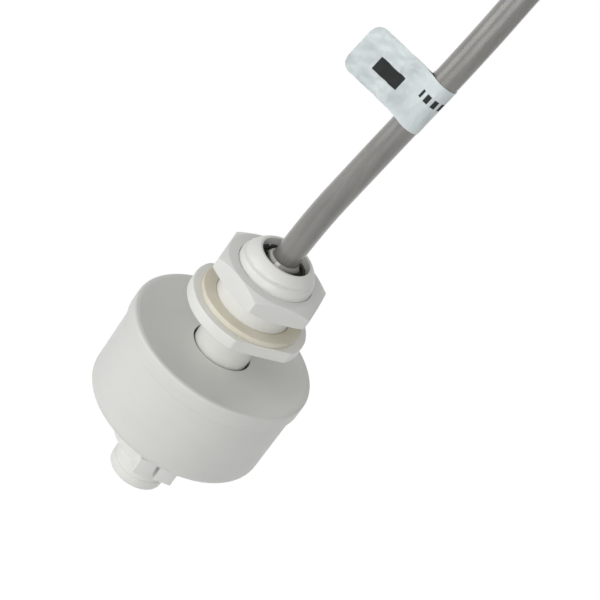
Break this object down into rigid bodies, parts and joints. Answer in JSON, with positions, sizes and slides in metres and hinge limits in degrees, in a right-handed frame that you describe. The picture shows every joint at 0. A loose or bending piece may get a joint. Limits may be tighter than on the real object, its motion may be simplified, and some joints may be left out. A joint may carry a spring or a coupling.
{
  "type": "level sensor",
  "caption": "Vertical float level sensor: threaded plastic stem with flange and lock nut, sliding magnetic float, clip and potted cable lead.",
  "frame": {"origin": "stem axis at the flange's sealing face", "axes": "+Z along the stem axis towards the cable, flats of the flange facing +Y and -Y"},
  "size_m": [0.1347, 0.0551, 0.182],
  "materials": {
    "stem_plastic": "moulded white polypropylene, satin",
    "nut_plastic": "moulded white polypropylene, satin",
    "float_plastic": "moulded off-white polypropylene, satin",
    "clip_plastic": "moulded white plastic, satin",
    "gasket_rubber": "cream elastomer, matt",
    "magnet_ferrite": "sintered ferrite, matt",
    "washer_steel": "plated spring steel",
    "reed_glass": "clear greenish glass",
    "reed_metal": "nickel iron",
    "solder": "tin solder",
    "brown_insulation": "smooth PVC",
    "blue_insulation": "smooth PVC",
    "resin": "clear cast epoxy, glossy",
    "cable_sheath": "grey PVC sheath, satin",
    "label_film": "glossy pale film",
    "tie_plastic": "natural nylon"
  },
  "bodies": {
    "fixed_body": {"stem": "stem_plastic", "sealing_gasket": "gasket_rubber", "retaining_clip": "clip_plastic", "reed_glass": "reed_glass", "reed_blade_lower": "reed_metal", "reed_blade_upper": "reed_metal", "solder_lower": "solder", "solder_upper": "solder", "core_brown": "brown_insulation", "core_blue": "blue_insulation", "potting_resin": "resin", "cable": "cable_sheath", "cable_hank": "cable_sheath", "cable_tail": "cable_sheath", "tail_core_brown": "brown_insulation", "tail_core_blue": "blue_insulation", "hank_tie": "tie_plastic", "cable_label": "label_film"},
    "float_body": {"float_cup": "float_plastic", "float_lid": "float_plastic", "float_magnet": "magnet_ferrite", "magnet_washer": "washer_steel"},
    "nut_body": {"lock_nut": "nut_plastic"}
  },
  "joints": [
    {"name": "float_slide", "type": "slide", "parent": "fixed_body", "child": "float_body", "axis": [0, 0, 1], "range_m": [0, 0.0083]},
    {"name": "nut_travel", "type": "slide", "parent": "fixed_body", "child": "nut_body", "axis": [0, 0, 1], "range_m": [-0.0044, 0.0055]}
  ]
}
